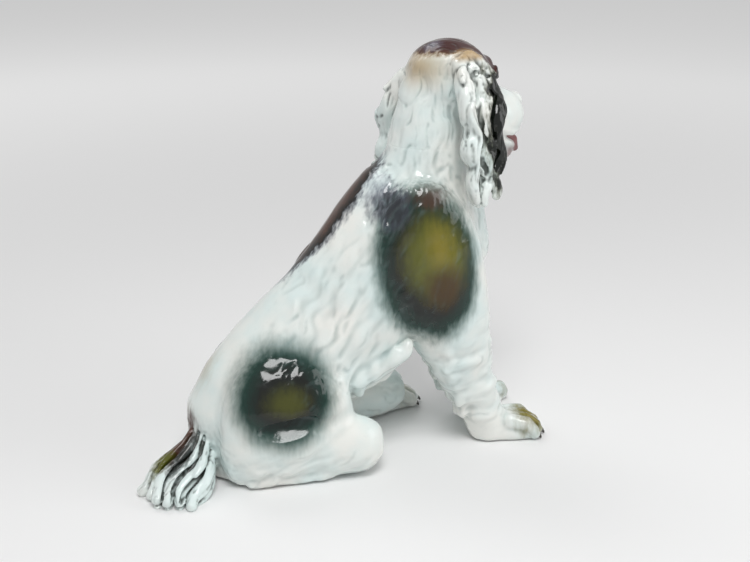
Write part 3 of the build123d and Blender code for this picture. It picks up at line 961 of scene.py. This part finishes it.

# %% [markdown]
# ## Ripples of the glaze
# Fired glaze is smooth but never a mirror: it has a slow orange-peel ripple. The group gives a
# height for a Bump node and a roughness that varies a little.

# %% The ripple group
ripple_tree, given, result = new_group(
    "glaze_ripple",
    [("Place", "Vector"), ("Pool_and_shade", "Float")],
    [("Height", "Float"), ("Roughness", "Float")],
)
slow = cloudy(ripple_tree, given["Place"], 0.22, 2.0)
hairs = add(ripple_tree, "Mapping", {"Vector": given["Place"], "Scale": (0.9, 0.7, 0.16)}).outputs[0]
fine = cloudy(ripple_tree, hairs, 1.0, 3.0)
height = math_node(ripple_tree, "ADD", slow, math_node(ripple_tree, "MULTIPLY", fine, 0.35))
ripple_tree.links.new(height, result["Height"])
worn = add(ripple_tree, "MapRange", {0: slow, 1: 0.35, 2: 0.65, 3: 0.07, 4: 0.15}).outputs[0]
matt = math_node(ripple_tree, "ADD", worn, math_node(ripple_tree, "MULTIPLY", given["Pool_and_shade"], 0.10))
ripple_tree.links.new(matt, result["Roughness"])
print("ripple group", len(ripple_tree.nodes), "nodes")

# %% [markdown]
# ## Colours and recipes
# Each patch lists where it sits, how far it reaches, how it is turned, how ragged its rim is, and its
# rings of colour from the middle outwards. Between its last two rings a patch thins out over the
# white, so a dark green spray ends in a feather of pale teal. A wash is a patch of less than full
# strength.

# %% The paint box
INK = colour(9, 15, 10)
PINE = colour(12, 46, 38)
SEA = colour(38, 104, 92)
OLIVE = colour(90, 92, 24)
GOLD = colour(122, 112, 34)
RUST = colour(66, 42, 8)
OCHRE = colour(166, 128, 56)
SAND = colour(150, 138, 74)
CROWN = colour(58, 16, 12)
UMBER = colour(78, 50, 38)
PLUM = colour(112, 116, 136)
MAUVE = colour(122, 86, 86)
NAIL = colour(40, 34, 22)
NOSE = colour(26, 22, 22)


def patch(middle, reach, rings, turn=(0, 0, 0), ragged=0.3, strength=1.0):
    """A patch recipe. Rings are pairs of a distance and a colour."""
    turn = [math.radians(angle) for angle in turn]
    return dict(middle=middle, reach=reach, rings=rings, turn=turn, ragged=ragged, strength=strength)


def even(tint, full=0.3, end=1.15):
    """Rings of one colour that thin out from a distance to the end."""
    return [(0.0, tint), (full, tint), (end, tint)]


print("paint box ready")

# %% [markdown]
# ## Patches on the coat
# Shoulders and haunches are sprayed dark green with olive hearts, and the saddle is brown. Toes, tail
# and rump get washes. Each patch is laid over the ones before it, so the order counts.

# %% Paint the coat
DARK_RINGS = [(0.0, INK), (0.60, INK), (0.82, PINE), (1.18, SEA)]
SOFT_RINGS = [(0.0, INK), (0.48, INK), (0.72, PINE), (1.25, SEA)]
SADDLE_RINGS = [(0.0, UMBER), (0.55, UMBER), (0.85, INK), (1.12, PLUM)]
SHOULDER_LEAN = (-8, 0, 0)
TAIL_LEAN = (0, 0, 44)
coat = []
for side in (-1, 1):
    coat += [
        patch(at(side * 40, -41, 125), (42, 30, 48), DARK_RINGS, SHOULDER_LEAN, 0.16),
        patch(at(side * 42, -44, 131), (30, 22, 30), even(OLIVE, 0.45), SHOULDER_LEAN, 0.25),
        patch(at(side * 42, -46, 137), (30, 11, 17), even(GOLD, 0.1), SHOULDER_LEAN, 0.5),
        patch(at(side * 42, -49, 113), (30, 15, 16), even(RUST, 0.25), ragged=0.4, strength=0.9),
        # a lilac-grey wash on the upper shoulder locks, partly a painted highlight of light on their
        # glaze
        patch(at(side * 36, -19, 162), (40, 12, 16), even(PLUM, 0.4), ragged=0.7, strength=0.8),
        patch(at(side * 36, -21, 159), (40, 12, 14), even(INK, 0.1), ragged=1.4, strength=0.85),
        patch(at(side * 36, -43, 164), (40, 13, 7), even(UMBER, 0.3), ragged=0.7, strength=0.7),
        patch(at(side * 44, 44, 58), (44, 31, 31), SOFT_RINGS, ragged=0.14),
        patch(at(side * 46, 43, 56), (30, 16, 11), even(OLIVE, 0.2), ragged=0.4, strength=0.55),
    ]
coat += [
    patch(at(13, 6, 152), (25, 20, 52), SADDLE_RINGS, (41, 0, 0), 0.4),
    patch(at(3, 84, 66), (15, 15, 20), even(OCHRE, 0.0), ragged=0.5, strength=0.45),
    patch(on_tail(9, 24, -10), (10, 24, 20), even(UMBER, 0.5), TAIL_LEAN, 0.8),
    patch(on_tail(12, 36, -20), (7, 12, 14), even(OLIVE, 0.5), TAIL_LEAN, 0.8),
    patch(on_tail(0, 30, -14), (6, 20, 16), even(INK, 0.3), TAIL_LEAN, 1.0, 0.9),
]
toe_rings = [(0.0, SAND), (0.5, GOLD), (1.15, OLIVE)]
for heel, turn, strength in ((at(-15.5, -90, 0), -10, 1.0), (at(15, -94, 0), 44, 1.0),
                             (at(40, -24, 0), 8, 0.45), (at(-20, 30, 0), 0, 0.45)):
    spot = heel + np.array(Matrix.Rotation(math.radians(turn), 3, "Z")) @ np.array((0, -26, 10))
    coat.append(patch(spot, (15, 15, 11), toe_rings, (0, 0, turn), 0.5, strength))
for spot in nails:
    coat.append(patch(spot, (2.2, 2.2, 2.4), even(NAIL, 0.9, 1.1), ragged=0.1))

print(len(coat), "patches on the coat")

# %% [markdown]
# ## Patches on the head and ears
# The crown and both eye patches are dark brown, edged with ochre. The eyes are painted in rings: a
# dark rim, a brown iris and a pupil. The ears share the head's patches and add a dark front. The
# ochre of the nape runs on over the neck, so the coat gets it as well.

# %% Paint the head
HEAD_TURNED = (0, 0, math.degrees(HEAD_TURN))
face = [patch(on_head(0, 22, 10), (34, 16, 15), even(OCHRE, 0.0), HEAD_TURNED, 0.15, 0.7)]
crown_rings = [(0.0, CROWN), (0.7, CROWN), (0.9, UMBER), (1.15, OCHRE)]
eye_rings = [(0.0, CROWN), (0.8, CROWN), (1.1, UMBER)]
face += [
    patch(on_head(0, -1, 23), (24, 21, 13), crown_rings, HEAD_TURNED, 0.4),
    # painted highlight: a lilac patch for the sheen of light on the dark crown
    patch(on_head(-4, 15, 23), (9, 9, 6), even(PLUM, 0.2), HEAD_TURNED, 0.6, 0.75),
]
for side in (-1, 1):
    face += [
        patch(on_head(side * 19, -14, 4), (12, 17, 17), eye_rings, HEAD_TURNED, 0.3),
        patch(on_head(side * 24, 4, 15.5), (9, 16, 5), even(OCHRE, 0.4), HEAD_TURNED, 0.3, 0.8),
        patch(eye_point(side, 0, 0), (4.5, 4.5, 3.8), even(INK, 0.95, 1.05), ragged=0.05),
        patch(eye_point(side, 0, 0.02), (2.9, 2.9, 2.9), even(RUST, 0.9, 1.0), ragged=0.05),
        patch(eye_point(side, 0, 0.02), (1.9, 1.9, 1.9), even(INK, 0.9, 1.0), ragged=0.03),
    ]
face += [
    patch(on_head(0, -61.5, -17.4), (7.4, 5.0, 5.4), even(NOSE, 0.75, 1.1), HEAD_TURNED, 0.15),
    # a mauve wash darkens the tip of the hanging chin
    patch(on_jaw(0, -42, 0), (13, 11, 9), even(MAUVE, 0.4), HEAD_TURNED, 0.3, 0.8),
]
coat.append(face[0])
ear_rings = [(0.0, INK), (0.8, INK), (1.2, OLIVE)]
ears = list(face)
for side in (-1, 1):
    ears.append(patch(on_head(side * 35, -7, -27), (22, 14, 40), ear_rings, HEAD_TURNED, 0.8))
print(len(face), "patches on the head and", len(ears), "on the ears")

# %% [markdown]
# ## Glazed porcelain
# One function lays the white, then each patch in turn, then the pools with their painted shade, so
# the body and the head share every layer and no seam shows at the neck. The gloss is the shader's
# own: a low roughness and the refraction of glass, as a fired glaze is glass.

# %% Build the glaze


def glaze(name, patches, pool_and_shade_depth, pool_and_shade_tint):
    """A glossy glaze with sprayed patches and pools of a tint, partly painted shade in the hollows, as
    deep as said.
    """
    material = bpy.data.materials.new(name)
    material.use_nodes = True
    tree = material.node_tree
    shader = tree.nodes["Principled BSDF"]
    spot = add(tree, "TexCoord").outputs["Object"]
    place = add(tree, "VectorMath", {0: spot, "Scale": 1 / MM}, operation="SCALE").outputs[0]
    pool_and_shade = add(tree, "Attribute", attribute_name="pool_and_shade").outputs["Fac"]

    white = {"Place": place, "Pool_and_shade": pool_and_shade, "Depth": 0.35}
    paint = add(tree, "Group", white, node_tree=white_tree).outputs["Color"]
    for recipe in patches:
        facts = {"Place": place, "Middle": tuple(recipe["middle"]), "Reach": recipe["reach"],
                 "Turn": recipe["turn"], "Ragged": recipe["ragged"]}
        distance = add(tree, "Group", facts, node_tree=patch_tree).outputs["Distance"]
        last = recipe["rings"][-1][0]
        ramp = add(tree, "ValToRGB", {0: math_node(tree, "DIVIDE", distance, last)})
        while len(ramp.color_ramp.elements) < len(recipe["rings"]):
            ramp.color_ramp.elements.new(0.5)
        for element, (at_distance, paint_colour) in zip(ramp.color_ramp.elements, recipe["rings"]):
            element.position = at_distance / last
            element.color = paint_colour
        cover = add(tree, "MapRange", {0: distance, 1: recipe["rings"][-2][0], 2: last, 3: 1.0, 4: 0.0},
                    interpolation_type="SMOOTHSTEP").outputs[0]
        cover = math_node(tree, "MULTIPLY", cover, recipe["strength"])
        paint = blend(tree, cover, paint, ramp.outputs[0])
    # painted shade: the hollows take the pool tint, partly the glaze lying thick there
    pool_and_shade_share = math_node(tree, "MULTIPLY", pool_and_shade, pool_and_shade_depth)
    paint = blend(tree, pool_and_shade_share, paint, pool_and_shade_tint)
    ripple = add(tree, "Group", {"Place": place, "Pool_and_shade": pool_and_shade}, node_tree=ripple_tree).outputs
    bump = add(tree, "Bump", {"Height": ripple["Height"], "Strength": 0.12, "Distance": 0.0006})
    tree.links.new(paint, shader.inputs["Base Color"])
    tree.links.new(ripple["Roughness"], shader.inputs["Roughness"])
    tree.links.new(bump.outputs[0], shader.inputs["Normal"])
    shader.inputs["IOR"].default_value = 1.5
    return material


print("glaze recipe ready")

# %% [markdown]
# ## Which glaze goes where
# Body, legs and haunches share one glaze. The tail and the ears have the darkest pools, a near-black
# painted shade, because their grooves are deep, and the tongue has its own pink one.

# %% Glaze the pieces
# painted shade tints for the hollows: grey-teal on the white, near black on ears and tail
THIN_POOL_AND_SHADE = colour(104, 130, 128)
DARK_POOL_AND_SHADE = colour(30, 34, 24)
tongue_rings = [(0.0, colour(140, 92, 92)), (0.8, colour(116, 70, 70)), (1.2, colour(76, 42, 42))]
tongue_patch = patch(on_jaw(0, -32, 6), (14, 40, 14), tongue_rings, ragged=0.4)
glazes = dict.fromkeys(PIECES, glaze("coat_glaze", coat, 0.30, THIN_POOL_AND_SHADE))
glazes["tail_fan"] = glaze("tail_glaze", coat, 0.95, DARK_POOL_AND_SHADE)
glazes["head"] = glaze("head_glaze", face, 0.30, THIN_POOL_AND_SHADE)
glazes["chin"] = glazes["head"]
glazes["right_ear_locks"] = glaze("ear_glaze", ears, 0.85, DARK_POOL_AND_SHADE)
glazes["left_ear_locks"] = glazes["right_ear_locks"]
# the tongue's groove takes a dark red painted shade
glazes["tongue_leaf"] = glaze("mouth_glaze", [tongue_patch], 0.5, colour(90, 40, 40))
for name, piece in skins.items():
    piece.data.materials.append(glazes[name])
print(len(set(glazes.values())), "glazes")

# %% [markdown]
# ## Floor
# A pale, matt floor runs out of sight. The lamps don't reach its far part, so that is lifted to the
# tone of the backdrop. Light Path does that only for what is looked at, and the light on the dog
# stays as it is.

# %% The floor
FLOOR = 60.0
FLOOR_TONE = 0.86
WORLD_LIGHT = 0.33
BACKDROP = 0.58
NEAR, FAR = 0.35, 1.6


def looked_at(tree):
    """1 for rays from the camera, a mirror or clear glass, and 0 for the light on things."""
    path = add(tree, "LightPath").outputs
    total = math_node(tree, "ADD", path["Is Camera Ray"], path["Is Glossy Ray"])
    return math_node(tree, "MINIMUM", math_node(tree, "ADD", total, path["Is Transmission Ray"]), 1.0)


sides = [(-FLOOR, -FLOOR, 0), (FLOOR, -FLOOR, 0), (FLOOR, FLOOR, 0), (-FLOOR, FLOOR, 0)]
floor_mesh = bpy.data.meshes.new("studio_floor")
floor_mesh.from_pydata(sides, [], [(0, 1, 2, 3)])
floor = bpy.data.objects.new("studio_floor", floor_mesh)
bpy.context.scene.collection.objects.link(floor)
floor_paint = bpy.data.materials.new("floor_paint")
floor_paint.use_nodes = True
floor_tree = floor_paint.node_tree
floor_shader = floor_tree.nodes["Principled BSDF"]
floor_shader.inputs["Base Color"].default_value = (FLOOR_TONE, FLOOR_TONE, FLOOR_TONE, 1)
floor_shader.inputs["Roughness"].default_value = 0.7
floor_shader.inputs["Specular IOR Level"].default_value = 0.0
place = add(floor_tree, "TexCoord").outputs["Object"]
distance = add(floor_tree, "VectorMath", {0: place}, operation="LENGTH").outputs["Value"]
missing = BACKDROP - WORLD_LIGHT * FLOOR_TONE
lift = add(floor_tree, "MapRange", {0: distance, 1: NEAR, 2: FAR, 3: 0.0, 4: missing},
           interpolation_type="SMOOTHSTEP").outputs[0]
lift = math_node(floor_tree, "MULTIPLY", lift, looked_at(floor_tree))
floor_shader.inputs["Emission Color"].default_value = (1, 1, 1, 1)
floor_tree.links.new(lift, floor_shader.inputs["Emission Strength"])
floor_mesh.materials.append(floor_paint)
print("floor", 2 * FLOOR, "m wide")

# %% [markdown]
# ## Lamps and world
# One strong soft lamp hangs high at the dog's right, and two weaker ones soften the shadows. The
# world is even and dim. A bright one would veil the dark patches, because a glaze mirrors it.

# %% The lamps and the world
AIM = Vector((middle * MM, 0, 0.120))


def softbox(name, place, size, power):
    """A rectangular area lamp that looks at the dog."""
    lamp = bpy.data.lights.new(name, "AREA")
    lamp.shape = "RECTANGLE"
    lamp.size, lamp.size_y = size
    lamp.energy = power
    holder = bpy.data.objects.new(name, lamp)
    holder.location = place
    holder.rotation_euler = (AIM - Vector(place)).to_track_quat("-Z", "Y").to_euler()
    bpy.context.scene.collection.objects.link(holder)


softbox("key_softbox", (-0.62, 0.10, 1.12), (0.50, 0.50), 8.5)
softbox("fill_softbox", (-0.5, -0.95, 0.55), (0.7, 0.7), 3)
softbox("far_softbox", (0.9, 0.35, 1.6), (0.9, 0.9), 6)
world = bpy.data.worlds.new("studio_world")
bpy.context.scene.world = world
world.use_nodes = True
world_tree = world.node_tree
lift = math_node(world_tree, "MULTIPLY", looked_at(world_tree), BACKDROP - WORLD_LIGHT)
world_tree.nodes["Background"].inputs["Color"].default_value = (1, 1, 1, 1)
strength = math_node(world_tree, "ADD", lift, WORLD_LIGHT)
world_tree.links.new(strength, world_tree.nodes["Background"].inputs["Strength"])
print("studio ready")

# %% [markdown]
# ## Camera
# The camera stands at the dog's right, a little behind and above it, and looks down at it by 20
# degrees. The Standard view transform shows colours as they are written.

# %% The camera
camera_data = bpy.data.cameras.new("camera")
camera = bpy.data.objects.new("camera", camera_data)
bpy.context.scene.collection.objects.link(camera)
bpy.context.scene.camera = camera
camera_data.lens = 50.4
camera_data.sensor_width = 36
camera.location = (-0.5594, 0.1586, 0.3183)
forward = Vector((0.8937, -0.2904, -0.3420))
camera.rotation_euler = forward.to_track_quat("-Z", "Y").to_euler()
bpy.context.scene.view_settings.view_transform = "Standard"
print("camera", round((camera.location - AIM).length, 2), "m away")
